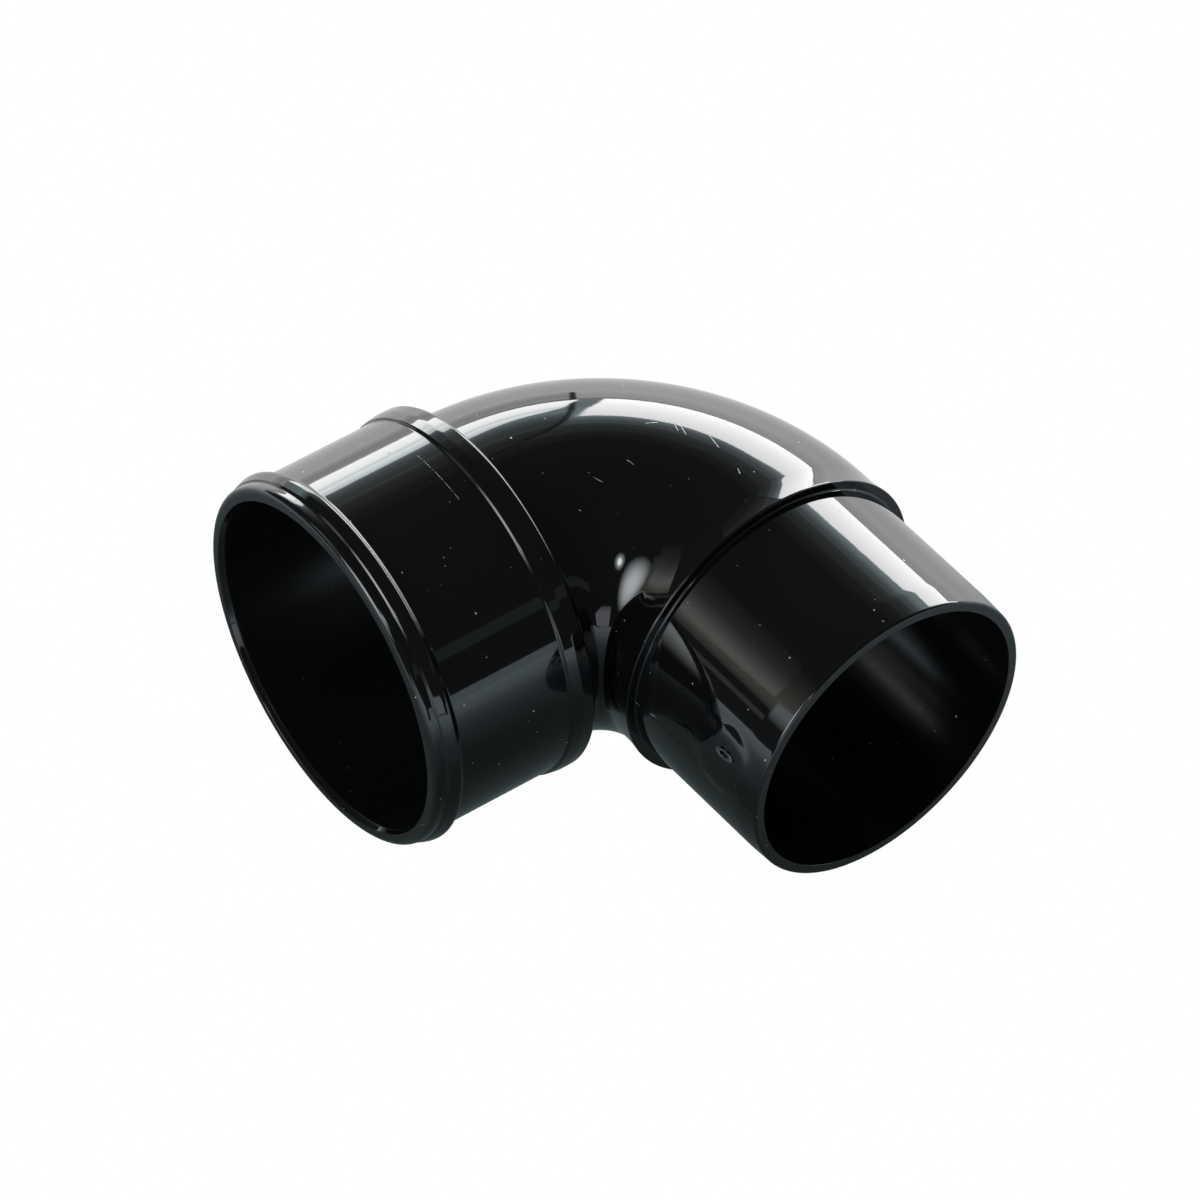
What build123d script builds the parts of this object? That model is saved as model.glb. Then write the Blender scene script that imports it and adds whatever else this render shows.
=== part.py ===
from build123d import *
import os
from math import radians, tan

# A moulded bend for round rainwater downpipe: a socket, a close elbow and a spigot in one piece of
# plastic. A pipe slides into the socket as far as a stop. The next pipe slides over the spigot until
# its end meets the collar, and there it is flush with the elbow.
#
# Frame: the origin is on the socket's axis at the pipe stop. The socket opens towards -X, the spigot
# points nearly to -Y, both axes lie in the XY plane, and the bend lies on its side with +Z up.

# The pipe that the bend is made for, and the angle between its two legs
pipe_diameter = 68.0
leg_angle = 92.5

# Elbow: a tube as thick as the pipe, bent as closely as that thickness allows
elbow_radius = pipe_diameter / 2
elbow_bore = elbow_radius - 2.4
throat_radius = 1.4
centreline_radius = elbow_radius + throat_radius

# Reaches below run out along each leg from the corner, which is the point where the two axes cross.
# Socket: its reach, the depth from its mouth down to the pipe stop, and its radii
socket_reach = 74.4
socket_depth = 35.0
socket_radius = 37.5
socket_bore = 34.6
mouth_bore = 35.2
lead_in_depth = 1.2

# Mouth of the socket: a rounded lip at the very end, and a bead that rises slowly behind it
lip_radius = 38.05
lip_width = 1.5
mouth_bead_radius = 39.05
mouth_bead_front = 70.2
mouth_bead_back = 68.1

# Bead at the foot of the socket, where it steps down to the elbow
base_bead_radius = 38.3
base_bead_front = 42.5
base_bead_back = 37.0

# Collar: the elbow flares out to it, and its flat face is the seat for the next pipe
collar_reach = 40.3
collar_radius = 34.45
flare_length = 2.9

# Spigot: a plain tube with a slight lead-in and a rounded end, narrower inside than the elbow
spigot_reach = 76.3
spigot_radius = 32.4
spigot_bore = 30.0
tip_radius = 32.15
tip_taper_length = 5.6
neck_start = collar_reach - 3.8
neck_end = collar_reach + 0.7

# The elbow meets each leg this far from the corner, and turns about a point inside the angle
pipe_stop = socket_reach - socket_depth
turn = 180 - leg_angle
elbow_end = centreline_radius * tan(radians(turn / 2))
elbow_start = pipe_stop - elbow_end
elbow_start_plane = Plane(origin=(elbow_start, 0, 0), x_dir=(0, 1, 0), z_dir=(1, 0, 0))
elbow_axis = Axis((elbow_start, -centreline_radius, 0), (0, 0, -1))

# Each leg is drawn in its own plane, with local X along the leg from the corner and local Y as radius
corner = Vector(pipe_stop, 0, 0)
socket_direction = Vector(-1, 0, 0)
spigot_direction = socket_direction.rotate(Axis.Z, leg_angle)
socket_plane = Plane(origin=corner, x_dir=socket_direction, z_dir=(0, 0, 1))
spigot_plane = Plane(origin=corner, x_dir=spigot_direction, z_dir=(0, 0, 1))
socket_axis = Axis(corner, socket_direction)
spigot_axis = Axis(corner, spigot_direction)

# The four turned profiles, as corners of (place along the leg, radius, rounding of that corner)
socket_outside = [
    (elbow_end, 0, 0),
    (elbow_end, elbow_radius, 0),
    (base_bead_back, elbow_radius, 1.9),
    (base_bead_back + 0.3, base_bead_radius, 0.9),
    (base_bead_front - 1.5, base_bead_radius, 3.0),
    (base_bead_front, socket_radius, 1.5),
    (mouth_bead_back, socket_radius, 1.0),
    (mouth_bead_back + 0.8, mouth_bead_radius, 0.8),
    (mouth_bead_front, mouth_bead_radius, 1.8),
    (socket_reach - lip_width, lip_radius, 0.6),
    (socket_reach, lip_radius, 1.3),
    (socket_reach, 0, 0),
]
socket_inside = [
    (elbow_end, 0, 0),
    (elbow_end, elbow_bore, 0),
    (pipe_stop, elbow_bore, 0.5),
    (pipe_stop, socket_bore, 0.3),
    (socket_reach - lead_in_depth, socket_bore, 1.0),
    (socket_reach, mouth_bore, 0),
    (socket_reach, 0, 0),
]
spigot_outside = [
    (elbow_end, 0, 0),
    (elbow_end, elbow_radius, 0),
    (collar_reach - flare_length, elbow_radius, 25.0),
    (collar_reach - 0.4, collar_radius, 0.3),
    (collar_reach, collar_radius, 0.2),
    (collar_reach, spigot_radius, 0.35),
    (spigot_reach - tip_taper_length, spigot_radius, 30.0),
    (spigot_reach, tip_radius, 0.6),
    (spigot_reach, 0, 0),
]
spigot_inside = [
    (elbow_end, 0, 0),
    (elbow_end, elbow_bore, 0),
    (neck_start, elbow_bore, 4.0),
    (neck_end, spigot_bore, 4.0),
    (spigot_reach, spigot_bore, 0),
    (spigot_reach, 0, 0),
]


with BuildPart() as bend:
    # The outside: the elbow as an arc of tube, then the two legs turned about their axes
    with BuildSketch(elbow_start_plane):
        Circle(elbow_radius)
    revolve(axis=elbow_axis, revolution_arc=turn)
    for plane, axis, corners in (
        (socket_plane, socket_axis, socket_outside),
        (spigot_plane, spigot_axis, spigot_outside),
    ):
        with BuildSketch(plane):
            with BuildLine():
                FilletPolyline([(x, y) for x, y, _ in corners], radius=[r for _, _, r in corners], close=True)
            make_face()
        revolve(axis=axis)

    # The waterway through it, in the same three steps
    with BuildSketch(elbow_start_plane):
        Circle(elbow_bore)
    revolve(axis=elbow_axis, revolution_arc=turn, mode=Mode.SUBTRACT)
    for plane, axis, corners in (
        (socket_plane, socket_axis, socket_inside),
        (spigot_plane, spigot_axis, spigot_inside),
    ):
        with BuildSketch(plane):
            with BuildLine():
                FilletPolyline([(x, y) for x, y, _ in corners], radius=[r for _, _, r in corners], close=True)
            make_face()
        revolve(axis=axis, mode=Mode.SUBTRACT)

os.makedirs("parts", exist_ok=True)
bend.part.label = "downpipe_bend"
export_step(bend.part, "parts/downpipe_bend.step")
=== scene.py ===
import math

import bpy
from mathutils import Matrix, Vector


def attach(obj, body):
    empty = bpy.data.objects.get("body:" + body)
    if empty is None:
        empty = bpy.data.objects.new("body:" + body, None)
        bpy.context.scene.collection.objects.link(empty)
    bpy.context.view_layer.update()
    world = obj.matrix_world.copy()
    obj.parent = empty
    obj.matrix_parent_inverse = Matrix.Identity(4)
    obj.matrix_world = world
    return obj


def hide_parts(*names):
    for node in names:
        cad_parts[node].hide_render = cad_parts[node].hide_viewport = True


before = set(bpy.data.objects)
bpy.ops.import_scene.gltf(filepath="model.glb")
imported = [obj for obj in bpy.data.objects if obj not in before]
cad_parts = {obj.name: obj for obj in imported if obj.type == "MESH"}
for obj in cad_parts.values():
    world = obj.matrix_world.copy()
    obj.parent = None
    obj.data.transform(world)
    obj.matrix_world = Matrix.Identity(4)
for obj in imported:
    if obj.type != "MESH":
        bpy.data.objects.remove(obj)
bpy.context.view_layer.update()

# The bend: one injection moulding in gloss black PVC, with a beaded socket, a close elbow and a
# spigot. The mould maker turns it: one closed section runs out along the skin and back along the
# bore, and is turned about an axis that is straight in both legs and an arc in the elbow.
crossing = 0.0394  # from the pipe stop, which is the origin, to the point where the legs' axes cross
bend_radius = 0.0354
turn = math.radians(87.5)
elbow_reach = bend_radius * math.tan(turn / 2)
elbow_start = crossing - elbow_reach
spigot_turned_from = bend_radius * turn - elbow_reach

# The outside copies a polished mould, and the cores that formed the bores were less smooth
polished, spigot_core, socket_core = 0.045, 0.2, 0.3

# The section's corners: the leg, the place along it from the crossing, the radius and the rounding,
# all in mm, and the roughness of the skin up to there
section_corners = [
    ("socket", 74.4, 37.95, 1.6, polished),
    ("socket", 71.9, 37.95, 0.4, polished),
    ("socket", 71.5, 38.35, 0.5, polished),
    ("socket", 69.8, 38.95, 2.0, polished),
    ("socket", 68.9, 38.95, 0.8, polished),
    ("socket", 68.1, 37.5, 1.0, polished),
    ("socket", 42.9, 37.5, 0.5, polished),
    ("socket", 42.5, 38.0, 0.5, polished),
    ("socket", 40.4, 38.35, 3.0, polished),
    ("socket", 37.3, 38.35, 0.9, polished),
    ("socket", 37.0, 34.0, 1.9, polished),
    ("spigot", 37.4, 34.0, 25.0, polished),
    ("spigot", 39.9, 34.45, 0.3, polished),
    ("spigot", 40.3, 34.45, 0.2, polished),
    ("spigot", 40.3, 32.4, 0.35, polished),
    ("spigot", 70.7, 32.4, 30.0, polished),
    ("spigot", 76.3, 32.15, 0.6, polished),
    ("spigot", 76.3, 30.0, 0.15, spigot_core),
    ("spigot", 41.0, 30.0, 4.0, spigot_core),
    ("spigot", 36.5, 31.6, 4.0, spigot_core),
    ("socket", 39.4, 31.6, 0.5, socket_core),
    ("socket", 39.4, 34.6, 0.3, socket_core),
    ("socket", 73.2, 34.6, 1.0, socket_core),
    ("socket", 74.4, 35.2, 0.15, polished),
]
corners = []
for leg, place, radius, rounding, roughness in section_corners:
    along = elbow_reach * 1000 - place if leg == "socket" else spigot_turned_from * 1000 + place
    corners.append((Vector((along, radius)), rounding, roughness))

# Points along it in mm: straight stretches go in cells, with a point held close to each end so that
# the shading stays flat up to there, and roundings go in steps of 8 degrees at most
cell = 1.4
hold, longest_share_held = 0.12, 0.2
finest_turn, fewest_steps = math.radians(8), 3
section_points = []
finishes = []
for i, (corner, rounding, roughness) in enumerate(corners + corners[:1]):
    back = (corners[i - 1][0] - corner).normalized()
    ahead = (corners[(i + 1) % len(corners)][0] - corner).normalized()
    half = back.angle(ahead) / 2
    centre = corner + (back + ahead).normalized() * rounding / math.sin(half)
    spoke = corner + back * rounding / math.tan(half) - centre
    swing = spoke.angle_signed(corner + ahead * rounding / math.tan(half) - centre)
    if section_points:
        first = section_points[-1].copy()
        stretch = centre + spoke - first
        held = min(hold / stretch.length, longest_share_held)
        cells = max(1, round(stretch.length / cell))
        shares = [held + (1 - 2 * held) * j / cells for j in range(cells + 1)]
        section_points += [first + stretch * share for share in shares]
    if i < len(corners):
        steps = max(fewest_steps, math.ceil(abs(swing) / finest_turn))
        turns = [Matrix.Rotation(-swing * j / steps, 2) for j in range(steps + 1)]
        section_points += [centre + part_turn @ spoke for part_turn in turns]
    finishes += [roughness] * (len(section_points) - len(finishes))
section_points.append(section_points[0])
finishes.append(finishes[0])
section = bpy.data.meshes.new("section")
section.from_pydata([(p.x / 1000, p.y / 1000, f) for p, f in zip(section_points, finishes)], [], [])


def add(tree, kind, inputs, **settings):
    """One node: its inputs are values or sockets to link, and its settings may hold ramp stops."""
    node = tree.nodes.new(kind)
    for place, (position, shade) in enumerate(settings.pop("stops", ())):
        elements = node.color_ramp.elements
        stop = elements[place] if place < 2 else elements.new(1.0)
        stop.position, stop.color = position, shade
    for name, value in settings.items():
        setattr(node, name, value)
    for name, value in inputs.items() if isinstance(inputs, dict) else enumerate(inputs):
        if isinstance(value, bpy.types.NodeSocket):
            tree.links.new(value, node.inputs[name])
        elif value is not None:
            node.inputs[name].default_value = value
    return node


# Along the spigot's inner side runs the mould's parting line. Beside it, near the open end, is the
# broken stub of the gate that the plastic came in through, on a low round pad.
turned = bpy.data.node_groups.new("turned_bend", "GeometryNodeTree")
turned_inputs = (
    ("Section", "NodeSocketGeometry", None),
    ("Bend Radius", "NodeSocketFloat", bend_radius),
    ("Turn", "NodeSocketFloat", turn),
    ("Elbow Start", "NodeSocketFloat", elbow_start),
    ("Steps Round", "NodeSocketInt", 228),
    ("Spigot Radius", "NodeSocketFloat", 0.0324),
    ("Least Radius Of Skin", "NodeSocketFloat", 0.0311),
    ("Gate", "NodeSocketVector", (spigot_turned_from + 0.0660, math.radians(165.0), 0.0)),
    ("Stub Radius", "NodeSocketFloat", 0.0007),
    ("Stub Wall", "NodeSocketFloat", 0.00028),
    ("Stub Stretch", "NodeSocketVector", (2.6, 1.0, 0.8)),
    ("Tears Per Metre", "NodeSocketFloat", 1100.0),
    ("Tear Height", "NodeSocketFloat", 0.0011),
    ("Pad Middle", "NodeSocketVector", (spigot_turned_from + 0.0655, math.radians(169.0), 0.0)),
    ("Pad Radius", "NodeSocketFloat", 0.0086),
    ("Pad Flat Share", "NodeSocketFloat", 0.68),
    ("Pad Height", "NodeSocketFloat", 0.0003),
    ("Line Start", "NodeSocketVector", (spigot_turned_from + 0.0404, math.radians(178.6), 0.0)),
    ("Line Length", "NodeSocketFloat", 0.0352),
    ("Line Radius", "NodeSocketFloat", 0.00007),
    ("Material", "NodeSocketMaterial", None),
)
for name, kind, value in turned_inputs:
    socket = turned.interface.new_socket(name, in_out="INPUT", socket_type=kind)
    if value is not None:
        socket.default_value = value
turned.interface.new_socket("Geometry", in_out="OUTPUT", socket_type="NodeSocketGeometry")
given = add(turned, "NodeGroupInput", {}).outputs
here = add(turned, "GeometryNodeInputPosition", {}).outputs[0]

# A sheet whose places are (distance along, angle round, radius), rolled up further down
count = add(
    turned, "GeometryNodeAttributeDomainSize", {"Geometry": given["Section"]}, component="MESH"
).outputs["Point Count"]
rows = add(turned, "ShaderNodeMath", [given["Steps Round"], 1.0], operation="ADD").outputs[0]
sheet_size = {"Size X": 1.0, "Size Y": 2 * math.pi, "Vertices X": count, "Vertices Y": rows}
sheet = add(turned, "GeometryNodeMeshGrid", sheet_size).outputs["Mesh"]
sheet_at = add(turned, "ShaderNodeSeparateXYZ", [here])
last = add(turned, "ShaderNodeMath", [count, 1.0], operation="SUBTRACT").outputs[0]
from_edge = add(turned, "ShaderNodeMath", [sheet_at.outputs["X"], 0.5], operation="ADD").outputs[0]
step = add(turned, "ShaderNodeMath", [from_edge, last], operation="MULTIPLY").outputs[0]
index = add(turned, "ShaderNodeMath", [step], operation="ROUND").outputs[0]
section_point = add(
    turned, "GeometryNodeSampleIndex", {"Geometry": given["Section"], "Value": here, "Index": index},
    data_type="FLOAT_VECTOR", domain="POINT",
).outputs["Value"]
section_at = add(turned, "ShaderNodeSeparateXYZ", [section_point])
round_from_outside = add(
    turned, "ShaderNodeMath", [sheet_at.outputs["Y"], math.pi], operation="ADD"
).outputs[0]
laid_at = [section_at.outputs["X"], round_from_outside, section_at.outputs["Y"]]
laid = add(turned, "ShaderNodeCombineXYZ", laid_at).outputs[0]
finished = add(
    turned, "GeometryNodeStoreNamedAttribute",
    {"Geometry": sheet, "Name": "roughness", "Value": section_at.outputs["Z"]},
    data_type="FLOAT", domain="POINT",
).outputs[0]
skin = add(turned, "GeometryNodeSetPosition", {"Geometry": finished, "Position": laid}).outputs[0]

# The stub and the parting line, laid in the same places
per_radius = add(
    turned, "ShaderNodeMath", [1.0, given["Spigot Radius"]], operation="DIVIDE"
).outputs[0]
across = add(turned, "ShaderNodeCombineXYZ", [1.0, per_radius, 1.0]).outputs[0]
lift = add(turned, "ShaderNodeCombineXYZ", {"Z": given["Spigot Radius"]}).outputs[0]
stub_path = add(
    turned, "GeometryNodeCurvePrimitiveCircle", {"Resolution": 40, "Radius": given["Stub Radius"]}
).outputs["Curve"]
stub_wall = add(
    turned, "GeometryNodeCurvePrimitiveCircle", {"Resolution": 10, "Radius": given["Stub Wall"]}
).outputs["Curve"]
stub_ring = add(
    turned, "GeometryNodeCurveToMesh", {"Curve": stub_path, "Profile Curve": stub_wall}
).outputs[0]
stub_long = add(
    turned, "GeometryNodeTransform", {"Geometry": stub_ring, "Scale": given["Stub Stretch"]}
).outputs[0]
tears = add(
    turned, "ShaderNodeTexNoise", {"Scale": given["Tears Per Metre"], "Detail": 2.0}
).outputs["Color"]
ragged = add(
    turned, "ShaderNodeVectorMath", [tears, (0.5, 0.5, 0.3)], operation="SUBTRACT"
).outputs[0]
torn = add(
    turned, "ShaderNodeVectorMath", {0: ragged, "Scale": given["Tear Height"]}, operation="SCALE"
).outputs[0]
stub_torn = add(turned, "GeometryNodeSetPosition", {"Geometry": stub_long, "Offset": torn}).outputs[0]
stub_marked = add(
    turned, "GeometryNodeStoreNamedAttribute", {"Geometry": stub_torn, "Name": "torn", "Value": 1.0},
    data_type="FLOAT", domain="POINT",
).outputs[0]
stub_place = add(turned, "ShaderNodeVectorMath", [given["Gate"], lift], operation="ADD").outputs[0]
stub = add(
    turned, "GeometryNodeTransform",
    {"Geometry": stub_marked, "Translation": stub_place, "Scale": across},
).outputs[0]
line_end = add(turned, "ShaderNodeCombineXYZ", {"X": given["Line Length"]}).outputs[0]
line_path = add(
    turned, "GeometryNodeCurvePrimitiveLine", {"Start": (0.0, 0.0, 0.0), "End": line_end}
).outputs[0]
line_cells = add(turned, "GeometryNodeResampleCurve", {"Curve": line_path, "Count": 48}).outputs[0]
line_round = add(
    turned, "GeometryNodeCurvePrimitiveCircle", {"Resolution": 8, "Radius": given["Line Radius"]}
).outputs["Curve"]
line_rib = add(
    turned, "GeometryNodeCurveToMesh",
    {"Curve": line_cells, "Profile Curve": line_round, "Fill Caps": True},
).outputs[0]
line_place = add(
    turned, "ShaderNodeVectorMath", [given["Line Start"], lift], operation="ADD"
).outputs[0]
line = add(
    turned, "GeometryNodeTransform",
    {"Geometry": line_rib, "Translation": line_place, "Scale": across},
).outputs[0]
joined = add(turned, "GeometryNodeJoinGeometry", {"Geometry": skin})
turned.links.new(stub, joined.inputs[0])
turned.links.new(line, joined.inputs[0])

# The pad lifts whatever of the outer skin lies within its radius of its middle
from_middle = add(
    turned, "ShaderNodeVectorMath", [here, given["Pad Middle"]], operation="SUBTRACT"
).outputs[0]
lengths = add(turned, "ShaderNodeCombineXYZ", [1.0, given["Spigot Radius"], 0.0]).outputs[0]
flat_from_middle = add(
    turned, "ShaderNodeVectorMath", [from_middle, lengths], operation="MULTIPLY"
).outputs[0]
far = add(turned, "ShaderNodeVectorMath", [flat_from_middle], operation="LENGTH").outputs["Value"]
pad_edge = add(
    turned, "ShaderNodeMath", [given["Pad Radius"], given["Pad Flat Share"]], operation="MULTIPLY"
).outputs[0]
rise_range = {
    "Value": far,
    "From Min": given["Pad Radius"],
    "From Max": pad_edge,
    "To Min": 0.0,
    "To Max": given["Pad Height"],
}
rise = add(turned, "ShaderNodeMapRange", rise_range, interpolation_type="SMOOTHSTEP").outputs[0]
radius = add(turned, "ShaderNodeSeparateXYZ", [here]).outputs["Z"]
outside = add(
    turned, "ShaderNodeMath", [radius, given["Least Radius Of Skin"]], operation="GREATER_THAN"
).outputs[0]
rise_outside = add(turned, "ShaderNodeMath", [rise, outside], operation="MULTIPLY").outputs[0]
padded = add(turned, "ShaderNodeCombineXYZ", {"Z": rise_outside}).outputs[0]
lifted = add(
    turned, "GeometryNodeSetPosition", {"Geometry": joined.outputs[0], "Offset": padded}
).outputs[0]

# Rolled round the leg, and then swung about the elbow's centre as far as the leg has turned
at = add(turned, "ShaderNodeSeparateXYZ", [here])
upright_radius = add(turned, "ShaderNodeCombineXYZ", {"Y": at.outputs["Z"]}).outputs[0]
rolled = add(
    turned, "ShaderNodeVectorRotate", {"Vector": upright_radius, "Angle": at.outputs["Y"]},
    rotation_type="X_AXIS",
).outputs[0]
turned_so_far = add(
    turned, "ShaderNodeMath", [at.outputs["X"], given["Bend Radius"]], operation="DIVIDE"
).outputs[0]
swung = add(
    turned, "ShaderNodeClamp", {"Value": turned_so_far, "Min": 0.0, "Max": given["Turn"]}
).outputs[0]
on_arc = add(turned, "ShaderNodeMath", [swung, given["Bend Radius"]], operation="MULTIPLY").outputs[0]
past_arc = add(turned, "ShaderNodeMath", [at.outputs["X"], on_arc], operation="SUBTRACT").outputs[0]
from_centre = add(turned, "ShaderNodeCombineXYZ", [past_arc, given["Bend Radius"], 0.0]).outputs[0]
reached = add(turned, "ShaderNodeVectorMath", [rolled, from_centre], operation="ADD").outputs[0]
swept = add(
    turned, "ShaderNodeVectorRotate", {"Vector": reached, "Angle": swung},
    rotation_type="Z_AXIS", invert=True,
).outputs[0]
below = add(turned, "ShaderNodeMath", [given["Bend Radius"], -1.0], operation="MULTIPLY").outputs[0]
elbow_centre = add(turned, "ShaderNodeCombineXYZ", [given["Elbow Start"], below, 0.0]).outputs[0]
placed = add(turned, "ShaderNodeVectorMath", [swept, elbow_centre], operation="ADD").outputs[0]
shaped = add(turned, "GeometryNodeSetPosition", {"Geometry": lifted, "Position": placed}).outputs[0]
outward = add(turned, "GeometryNodeFlipFaces", {"Mesh": shaped}).outputs[0]
closed = add(
    turned, "GeometryNodeMergeByDistance", {"Geometry": outward, "Distance": 0.000004}
).outputs[0]
smooth = add(turned, "GeometryNodeSetShadeSmooth", {"Geometry": closed}).outputs[0]
whole = add(turned, "GeometryNodeRealizeInstances", {"Geometry": smooth}).outputs[0]
dressed = add(
    turned, "GeometryNodeSetMaterial", {"Geometry": whole, "Material": given["Material"]}
).outputs[0]
add(turned, "NodeGroupOutput", {"Geometry": dressed})


def colour(code):
    """An sRGB hex colour as linear RGBA."""
    parts = [int(code[i : i + 2], 16) / 255 for i in (1, 3, 5)]
    return tuple(p / 12.92 if p <= 0.04045 else ((p + 0.055) / 1.055) ** 2.4 for p in parts) + (1.0,)


# Gloss black unplasticised PVC: carbon black all through, and a skin that copies a polished mould, so
# it mirrors the room like dark glass. Handling has left dust, fine hairs and a few bright scratches.
pvc = bpy.data.materials.new("gloss_black_pvc")
pvc.use_nodes = True
paint = pvc.node_tree
paint.nodes.clear()
on_bend = add(paint, "ShaderNodeTexCoord", {}).outputs["Object"]

# Dust: one grain in each 2.8 mm cell, and only the grains that the skin happens to cut are seen
dust_spacing = 0.0028
largest_grain = 0.00024
dust_shades = [(0.0, colour("#2c2c2a")), (0.6, colour("#77756e")), (1.0, colour("#e8e6dc"))]
dust = add(
    paint, "ShaderNodeTexVoronoi", {"Vector": on_bend, "Scale": 1 / dust_spacing}, feature="F1"
)
grain = add(paint, "ShaderNodeSeparateColor", {"Color": dust.outputs["Color"]})
grain_size = add(
    paint, "ShaderNodeMath", [grain.outputs[0], largest_grain / dust_spacing], operation="MULTIPLY"
).outputs[0]
dusty = add(
    paint, "ShaderNodeMath", [dust.outputs["Distance"], grain_size], operation="LESS_THAN"
).outputs[0]
dust_shade = add(
    paint, "ShaderNodeValToRGB", {"Fac": grain.outputs[1]}, stops=dust_shades
).outputs["Color"]

# Hairs and scratches on the elbow, a fine score across the top of the socket and scuffs by the
# collar, each from end to end and then half its width, all in mm
marks = [
    ((34.3, -8.8, 33.8), (36.2, -9.7, 33.7), 0.1),
    ((38.7, -11.8, 33.6), (38.2, -13.8, 33.8), 0.1),
    ((39.5, -12.6, 33.5), (38.8, -15.5, 33.9), 0.1),
    ((42.4, -18.2, 33.6), (41.9, -21.8, 33.8), 0.1),
    ((41.5, -28.5, 34.0), (41.1, -29.7, 34.0), 0.1),
    ((25.9, -14.2, 33.5), (26.3, -15.7, 33.3), 0.06),
    ((18.5, -13.4, 32.6), (19.4, -15.2, 32.2), 0.06),
    ((12.3, -16.7, 30.0), (12.9, -17.3, 30.1), 0.08),
    ((-7.9, 6.8, 36.87), (-7.9, 3.4, 37.33), 0.05),
    ((-7.9, 3.4, 37.33), (-7.9, 0.0, 37.49), 0.05),
    ((-7.9, 0.0, 37.49), (-7.9, -3.4, 37.33), 0.05),
    ((-7.9, -3.4, 37.33), (-7.9, -6.8, 36.87), 0.05),
    ((8.8, -41.8, 0.5), (8.9, -43.0, 0.7), 0.08),
    ((9.0, -46.2, 1.3), (9.1, -47.5, 1.6), 0.08),
]
marked = None
for start, end, half_width in marks:
    start, end = Vector(start) / 1000, Vector(end) / 1000
    run = end - start
    since = add(paint, "ShaderNodeVectorMath", [on_bend, start], operation="SUBTRACT").outputs[0]
    project = add(
        paint, "ShaderNodeVectorMath", [since, run / run.length_squared], operation="DOT_PRODUCT"
    ).outputs["Value"]
    within = add(paint, "ShaderNodeClamp", {"Value": project}).outputs[0]
    nearest = add(
        paint, "ShaderNodeVectorMath", {0: run, "Scale": within}, operation="SCALE"
    ).outputs[0]
    gap = add(paint, "ShaderNodeVectorMath", [since, nearest], operation="DISTANCE").outputs["Value"]
    mark = add(paint, "ShaderNodeMath", [gap, half_width / 1000], operation="LESS_THAN").outputs[0]
    if marked:
        mark = add(paint, "ShaderNodeMath", [marked, mark], operation="MAXIMUM").outputs[0]
    marked = mark

# The torn stub is paler and rougher than the moulded skin. A Mix node's inputs 6 and 7 are colours.
black, torn_grey, bare_scratch = colour("#0d0d0e"), colour("#3c4242"), colour("#a9b4b4")
matt_roughness = 0.4
torn_here = add(paint, "ShaderNodeAttribute", {}, attribute_name="torn").outputs["Fac"]
skin_finish = add(paint, "ShaderNodeAttribute", {}, attribute_name="roughness").outputs["Fac"]
black_or_torn = add(
    paint, "ShaderNodeMix", {0: torn_here, 6: black, 7: torn_grey}, data_type="RGBA"
).outputs[2]
with_dust = add(
    paint, "ShaderNodeMix", {0: dusty, 6: black_or_torn, 7: dust_shade}, data_type="RGBA"
).outputs[2]
with_marks = add(
    paint, "ShaderNodeMix", {0: marked, 6: with_dust, 7: bare_scratch}, data_type="RGBA"
).outputs[2]
matt = add(paint, "ShaderNodeMath", [dusty, marked], operation="MAXIMUM").outputs[0]
rough_spots = add(paint, "ShaderNodeMath", [matt, torn_here], operation="MAXIMUM").outputs[0]
finish = add(
    paint, "ShaderNodeMapRange",
    {"Value": rough_spots, "To Min": skin_finish, "To Max": matt_roughness},
).outputs[0]

# The polish isn't quite flat: ripples about 5 mm long, a few thousandths of a millimetre high
ripple_length = 0.005
ripple_height = 0.000006
ripples = add(
    paint, "ShaderNodeTexNoise", {"Vector": on_bend, "Scale": 1 / ripple_length, "Detail": 3.0}
).outputs["Fac"]
rippled = add(
    paint, "ShaderNodeBump", {"Height": ripples, "Strength": 1.0, "Distance": ripple_height}
).outputs["Normal"]
gloss = add(
    paint, "ShaderNodeBsdfPrincipled",
    {"Base Color": with_marks, "Roughness": finish, "IOR": 1.54, "Normal": rippled},
)
add(paint, "ShaderNodeOutputMaterial", {"Surface": gloss.outputs["BSDF"]})

# The section is turned into the finished moulding, which takes the place of the plain solid
former = bpy.data.objects.new("section", section)
bpy.context.scene.collection.objects.link(former)
modifier = former.modifiers.new("turned", "NODES")
modifier.node_group = turned
for item in turned.interface.items_tree:
    if item.in_out == "INPUT" and item.name == "Material":
        modifier[item.identifier] = pvc
    elif item.in_out == "INPUT" and item.name != "Section":
        modifier[item.identifier] = item.default_value
evaluated = former.evaluated_get(bpy.context.evaluated_depsgraph_get())
moulding = bpy.data.meshes.new_from_object(evaluated)
moulding.name = "moulded_bend"
bpy.data.objects.remove(former)
bend = bpy.data.objects.new("moulded_bend", moulding)
bpy.context.scene.collection.objects.link(bend)
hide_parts("downpipe_bend")
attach(bend, "root")

# The stage: a white sheet with no edge in sight, which the camera sees pure white. It lies just
# under the bend, and eight white screens stand round it.
floor_z = -0.03906
floor_reach = 6
screen_away, screen_foot, screen_top = 9, -1, 9


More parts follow.
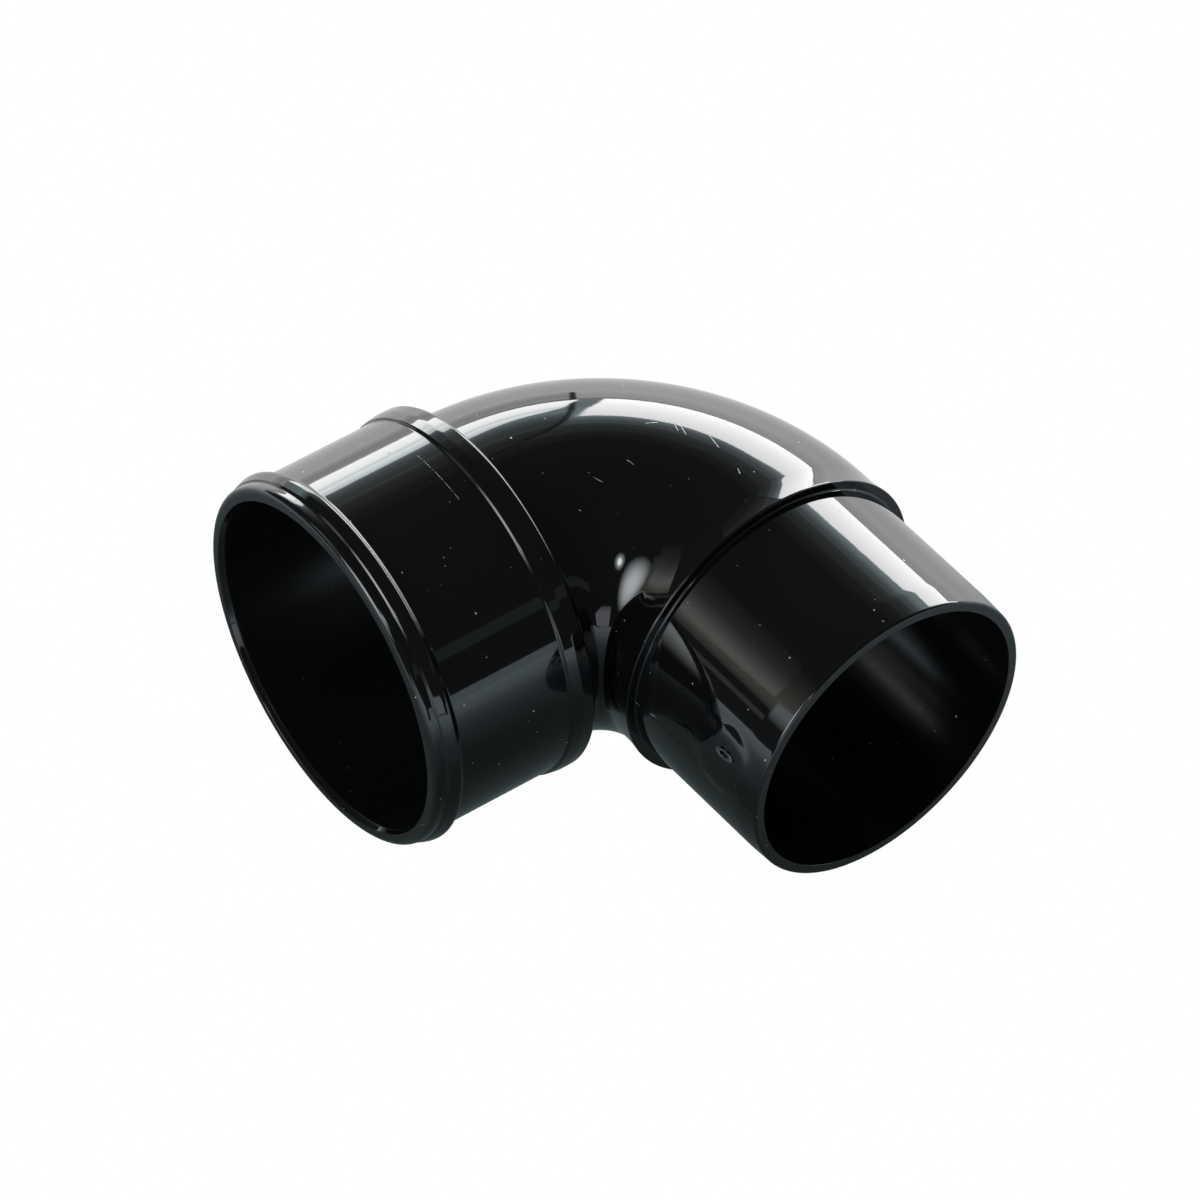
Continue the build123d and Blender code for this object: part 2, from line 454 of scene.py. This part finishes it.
def stage_piece(name, corners, light, seen=False):
    """A flat glowing piece. light(nodes) gives its colour and its strength."""
    lit = bpy.data.materials.new(name)
    lit.use_nodes = True
    nodes = lit.node_tree
    nodes.nodes.clear()
    shade, strength = light(nodes)
    glow = add(nodes, "ShaderNodeEmission", {"Color": shade, "Strength": strength})
    add(nodes, "ShaderNodeOutputMaterial", {"Surface": glow.outputs["Emission"]})
    mesh = bpy.data.meshes.new(name)
    mesh.from_pydata(corners, [], [tuple(range(len(corners)))])
    mesh.materials.append(lit)
    piece = bpy.data.objects.new(name, mesh)
    bpy.context.scene.collection.objects.link(piece)
    piece.visible_camera = seen
    piece.visible_glossy = not seen
    piece.visible_diffuse = not seen
    piece.visible_shadow = False


def even(code, strength):
    """The same light all over."""
    return lambda nodes: (colour(code), strength)


def square(reach):
    signs = ((-1, -1), (1, -1), (1, 1), (-1, 1))
    return [(x * reach, y * reach, floor_z) for x, y in signs]


stage_piece("floor", square(floor_reach), even("#ffffff", 1.0), seen=True)
for k in range(8):
    sides = [math.radians(45 * k), math.radians(45 * k + 45)]
    (x0, y0), (x1, y1) = [(screen_away * math.sin(v), screen_away * math.cos(v)) for v in sides]
    feet = [(x0, y0, screen_foot), (x1, y1, screen_foot)]
    tops = [(x1, y1, screen_top), (x0, y0, screen_top)]
    stage_piece(f"backdrop_{k}", feet + tops, even("#ffffff", 1.0), seen=True)


def scaled(stops, peak):
    """Ramp stops of (place, hex colour, strength) as shares of the peak strength."""
    return [(place, tuple(c * light / peak for c in colour(code))) for place, code, light in stops]


# The plastic mirrors the white table that it stood on, a glowing sheet that the camera doesn't see,
# with its light and shade painted on.
# Behind the bend it is painted lit nearly up to it, and on the near side it carries a painted shadow of
# the bend that lifts only far off. Stops are in metres from the bend.
table_reach = 2
near_side_painted_shadow = [
    (0.0, "#e4feff", 0.09),
    (0.03, "#e4feff", 0.12),
    (0.045, "#e4feff", 0.16),
    (0.06, "#e4fcff", 0.21),
    (0.09, "#e4f5ff", 0.29),
    (0.15, "#e0f5ff", 0.46),
    (0.23, "#e0f5ff", 0.72),
    (0.35, "#e0f5ff", 1.1),
    (0.6, "#e2f6ff", 1.28),
    (1.0, "#e6f7ff", 1.4),
]
far_side_painted_light = [
    (0.0, "#ffffff", 0.4),
    (0.06, "#ffffff", 0.6),
    (0.09, "#ffffff", 0.8),
    (0.12, "#ffffff", 0.95),
    (0.16, "#ffffff", 1.08),
    (0.22, "#ffffff", 1.25),
    (0.35, "#ffffff", 1.5),
    (0.6, "#ffffff", 1.75),
    (1.0, "#ffffff", 2.0),
]
table_peak = 2.0
# Painted shadow: the table is darkest round these spots on the near side, where the bend's shadow falls
painted_shadow_middles = ((-0.02, -0.06, floor_z), (-0.03, 0.015, floor_z), (0.0, -0.065, floor_z))
under_elbow = Vector((0.022, -0.014, floor_z))
behind = (0.6, 0.8, 0.0)
near_until, far_from = 0.4, 0.8


def table_light(nodes):
    spot = add(nodes, "ShaderNodeTexCoord", {}).outputs["Object"]
    # Painted light and shade: the near side's painted shadow lifts away from the spots, the far side is
    # painted brighter away from under the elbow, and the two blend by direction
    near = None
    for middle in painted_shadow_middles:
        away = add(nodes, "ShaderNodeVectorMath", [spot, middle], operation="DISTANCE").outputs["Value"]
        if near:
            away = add(nodes, "ShaderNodeMath", [near, away], operation="MINIMUM").outputs[0]
        near = away
    near_painted_shadow_tone = add(
        nodes, "ShaderNodeValToRGB", {"Fac": near}, stops=scaled(near_side_painted_shadow, table_peak)
    ).outputs["Color"]
    away = add(
        nodes, "ShaderNodeVectorMath", [spot, under_elbow], operation="DISTANCE"
    ).outputs["Value"]
    far_tone = add(
        nodes, "ShaderNodeValToRGB", {"Fac": away}, stops=scaled(far_side_painted_light, table_peak)
    ).outputs["Color"]
    out = add(nodes, "ShaderNodeVectorMath", [spot, under_elbow], operation="SUBTRACT").outputs[0]
    course = add(nodes, "ShaderNodeVectorMath", [out], operation="NORMALIZE").outputs[0]
    back = add(
        nodes, "ShaderNodeVectorMath", [course, behind], operation="DOT_PRODUCT"
    ).outputs["Value"]
    far_share = add(
        nodes, "ShaderNodeMapRange", {"Value": back, "From Min": near_until, "From Max": far_from},
        interpolation_type="SMOOTHSTEP",
    ).outputs[0]
    tone = add(
        nodes, "ShaderNodeMix", {0: far_share, 6: near_painted_shadow_tone, 7: far_tone}, data_type="RGBA"
    ).outputs[2]
    return tone, table_peak


stage_piece("table", square(table_reach), table_light)

# Above the table the plastic mirrors soft boxes and pale walls. Each is a flat card that faces the
# bend. Its outline is given as the directions in which the bend sees it, in degrees round from +Y
# and up. Its light goes by the same directions.
eye = Vector((0.026, -0.007, 0.02))
lowest, highest = -0.2, math.tan(math.radians(50))


def card(name, centre, away, outline, light):
    """A card whose middle is in the direction centre, at the distance away."""
    corners = []
    for az, el in outline:
        level = Vector((math.sin(math.radians(az)), math.cos(math.radians(az)), 0))
        course = level + Vector((0, 0, math.tan(math.radians(el))))
        corners.append(eye + course * away / math.cos(math.radians(az - centre)))
    stage_piece(name, corners, light)


def by_height(stops):
    """Light by stops of (degrees up, hex colour, strength)."""
    def light(nodes):
        spot = add(nodes, "ShaderNodeTexCoord", {}).outputs["Object"]
        sight = add(nodes, "ShaderNodeVectorMath", [spot, eye], operation="SUBTRACT").outputs[0]
        level = add(
            nodes, "ShaderNodeVectorMath", [sight, (1, 1, 0)], operation="MULTIPLY"
        ).outputs[0]
        run = add(nodes, "ShaderNodeVectorMath", [level], operation="LENGTH").outputs["Value"]
        height = add(nodes, "ShaderNodeSeparateXYZ", [sight]).outputs["Z"]
        slope = add(nodes, "ShaderNodeMath", [height, run], operation="DIVIDE").outputs[0]
        place = add(
            nodes, "ShaderNodeMapRange", {"Value": slope, "From Min": lowest, "From Max": highest}
        ).outputs[0]
        slopes = [(math.tan(math.radians(el)), code, strength) for el, code, strength in stops]
        shares = [((s - lowest) / (highest - lowest), code, strength) for s, code, strength in slopes]
        peak = max(strength for _, _, strength in stops)
        tone = add(nodes, "ShaderNodeValToRGB", {"Fac": place}, stops=scaled(shares, peak))
        return tone.outputs["Color"], peak
    return light


def blurred(az, el, wide, high, stops):
    """Light that fades outwards from a middle direction, by stops from 0 there to 1 at the edge."""
    def light(nodes):
        spot = add(nodes, "ShaderNodeTexCoord", {}).outputs["Object"]
        sight = add(nodes, "ShaderNodeVectorMath", [spot, eye], operation="SUBTRACT").outputs[0]
        course = add(nodes, "ShaderNodeVectorMath", [sight], operation="NORMALIZE").outputs[0]
        turned_to = add(
            nodes, "ShaderNodeVectorRotate", {"Vector": course, "Angle": math.radians(az)},
            rotation_type="Z_AXIS",
        ).outputs[0]
        facing = add(
            nodes, "ShaderNodeVectorRotate", {"Vector": turned_to, "Angle": math.radians(-el)},
            rotation_type="X_AXIS",
        ).outputs[0]
        narrow = (1 / math.sin(math.radians(wide)), 0.0, 1 / math.sin(math.radians(high)))
        shrunk = add(
            nodes, "ShaderNodeVectorMath", [facing, narrow], operation="MULTIPLY"
        ).outputs[0]
        place = add(nodes, "ShaderNodeVectorMath", [shrunk], operation="LENGTH").outputs["Value"]
        peak = max(strength for _, _, strength in stops)
        tone = add(nodes, "ShaderNodeValToRGB", {"Fac": place}, stops=scaled(stops, peak))
        return tone.outputs["Color"], peak
    return light


# Two soft boxes behind the bend, a little apart, and the wall that they light round them
soft_box_left = [
    (4, 8.5), (20, 8.5), (24, 10), (34.2, 10.5), (33.5, 14), (33.0, 19),
    (31.5, 21.3), (29, 22.5), (26, 24.5), (20, 25.5), (4, 26),
]
left_box_light = [
    (8, "#ffffff", 8.5),
    (14, "#ffffff", 9.0),
    (17, "#fcffff", 9.0),
    (18.5, "#f4fbfb", 7.0),
    (20.5, "#f8ffff", 9.0),
    (24, "#f4fbfb", 6.8),
    (26, "#f4fbfb", 7.5),
]
card("soft_box_left", 24, 1.5, soft_box_left, by_height(left_box_light))
soft_box_right = [
    (36.4, 10), (50, 9.4), (60, 9), (100, 9.5), (100, 12.5), (72, 23), (62, 25),
    (55, 28), (49, 31), (46, 30.5), (40, 30), (34.6, 29.6), (35.0, 22), (36, 14.5),
]
card("soft_box_right", 60, 1.5, soft_box_right, even("#ffffff", 10.0))
left_halo = [
    (0, "#ffffff", 1.75),
    (3, "#ffffff", 1.5),
    (5, "#ffffff", 1.6),
    (8, "#ffffff", 2.0),
    (9, "#e6efef", 1.3),
    (20, "#e3f9ff", 1.6),
    (23, "#e3f9ff", 2.0),
    (27, "#e3f9ff", 1.0),
    (31, "#e8f8fa", 0.58),
    (35.6, "#eef8f8", 0.45),
    (36, "#f4f8f8", 0.8),
    (36.5, "#eef8f8", 0.36),
    (40, "#f2f8f8", 0.25),
    (42.6, "#f2f8f8", 0.2),
    (43, "#f2f8f8", 0.36),
    (43.4, "#f2f8f8", 0.17),
    (47, "#f4f8f8", 0.12),
]
card("halo_left", 20, 1.6, [(-6, -2), (33.4, -2), (33.4, 50), (-6, 50)], by_height(left_halo))
right_halo = [
    (0, "#ffffff", 2.1),
    (4, "#ffffff", 2.1),
    (8, "#ffffff", 2.3),
    (9, "#e6efef", 1.5),
    (20, "#e3f9ff", 1.6),
    (28, "#e3f9ff", 2.3),
    (30.5, "#e3f9ff", 2.1),
    (32, "#e3f9ff", 1.6),
    (34.5, "#e6f8fc", 0.98),
    (36.4, "#e8f8fa", 0.72),
    (36.8, "#f4fcfc", 1.15),
    (37.3, "#e8f8fa", 0.52),
    (40.5, "#eef8f8", 0.36),
    (43.4, "#f2f8f8", 0.26),
    (43.8, "#f2f8f8", 0.45),
    (44.2, "#f2f8f8", 0.2),
    (48, "#f4f8f8", 0.12),
]
halo_right = [(34, -2), (103, -2), (103, 20), (82, 50), (34, 50)]
card("halo_right", 65, 1.6, halo_right, by_height(right_halo))

# A window and a lamp on the left, with no hard edge
window_fade = [
    (0.0, "#f6fdff", 8.4),
    (0.3, "#f6fdff", 7.4),
    (0.5, "#f6fdff", 5.8),
    (0.7, "#f4fcff", 3.5),
    (0.85, "#f2fbff", 1.5),
    (1.0, "#f0faff", 0.066),
]
window = [(-116, 2), (-62, 2), (-62, 48), (-116, 48)]
card("window_left", -88, 1.6, window, blurred(-88, 25, 23, 19, window_fade))
lamp_fade = [
    (0.0, "#f6fdff", 16.0),
    (0.3, "#f6fdff", 14.0),
    (0.5, "#f4fcff", 4.0),
    (1.0, "#f2fbff", 0.066),
]
lamp = [(-130, 34), (-108, 34), (-108, 50), (-130, 50)]
card("lamp_left", -120, 1.55, lamp, blurred(-118, 42, 7, 6, lamp_fade))

# Pale walls low on both sides, a dim stripe on the right and a soft patch on the left
left_wall = [
    (-1, "#eef4ff", 1.5),
    (3, "#eef4ff", 1.65),
    (9, "#eef4ff", 1.6),
    (12, "#eef4ff", 1.0),
    (13, "#eef4ff", 0.8),
]
wall_left = [(-123, -1), (-172, -1), (-172, 7), (-160, 10.5), (-150, 13), (-123, 12.5)]
card("wall_left", -132, 1.7, wall_left, by_height(left_wall))
wall_right = [(136, -4), (168, -4), (168, 3), (136, 3)]
card("wall_right", 157, 1.7, wall_right, even("#dff6ff", 1.25))
stripe_right = [(130, 21), (182, 21), (182, 27), (130, 27)]
card("stripe_right", 157, 1.6, stripe_right, even("#e8fff8", 0.22))
patch = [
    (18, "#fbffec", 0.3),
    (21, "#fbffec", 0.8),
    (25, "#f8fff4", 1.45),
    (28.5, "#f8fff4", 1.2),
    (31.5, "#f8fcf0", 0.85),
    (34.5, "#f8fcf0", 0.57),
    (37.5, "#f8fcf0", 0.38),
    (40.5, "#f8fcf0", 0.25),
    (48, "#f8fcf0", 0.1),
]
patch_left = [(-44, 19), (-60, 19), (-61.5, 24), (-61, 48), (-44, 48)]
card("patch_left", -54, 1.5, patch_left, by_height(patch))
patch_low = [(-44, 9), (-66, 9), (-66, 12), (-44, 12)]
card("patch_left_low", -56, 1.5, patch_low, even("#f6fbee", 0.45))
patch_fringe = [
    (17, "#f8f4ea", 0.3),
    (21, "#f8f6ea", 0.75),
    (25, "#f8f6ea", 0.85),
    (34, "#f8f6ea", 0.5),
    (42, "#f8f4ea", 0.25),
]
patch_edge = [(-60, 17), (-67, 17), (-67, 42), (-60, 42)]
card("patch_left_edge", -66, 1.52, patch_edge, by_height(patch_fringe))

# The rest of the room is dim
room_glow = (0.065, 0.067, 0.065, 1)
world = bpy.data.worlds.new("studio")
bpy.context.scene.world = world
world.use_nodes = True
world.node_tree.nodes["Background"].inputs["Color"].default_value = room_glow

# The camera stands where the photograph was taken from, 1.7 m away with a long lens.
camera_data = bpy.data.cameras.new("camera")
camera = bpy.data.objects.new("camera", camera_data)
bpy.context.scene.collection.objects.link(camera)
heading, drop, roll = math.radians(53.282), math.radians(47.905), math.radians(1.3216)
aim, away = Vector((0.02562, -0.00705, -0.01255)), 1.6846
look = Vector((math.cos(heading) * math.cos(drop), math.sin(heading) * math.cos(drop), -math.sin(drop)))
level = Vector((math.sin(heading), -math.cos(heading), 0))
upright = level.cross(look)
right = math.cos(roll) * level + math.sin(roll) * upright
up = math.cos(roll) * upright - math.sin(roll) * level
turned_to_aim = Matrix((right, up, -look)).transposed().to_4x4()
camera.matrix_world = Matrix.Translation(aim - away * look) @ turned_to_aim
camera_data.sensor_width = 36
camera_data.lens = 260.38
camera_data.clip_end = 100
bpy.context.scene.camera = camera
bpy.context.scene.view_settings.view_transform = "Standard"
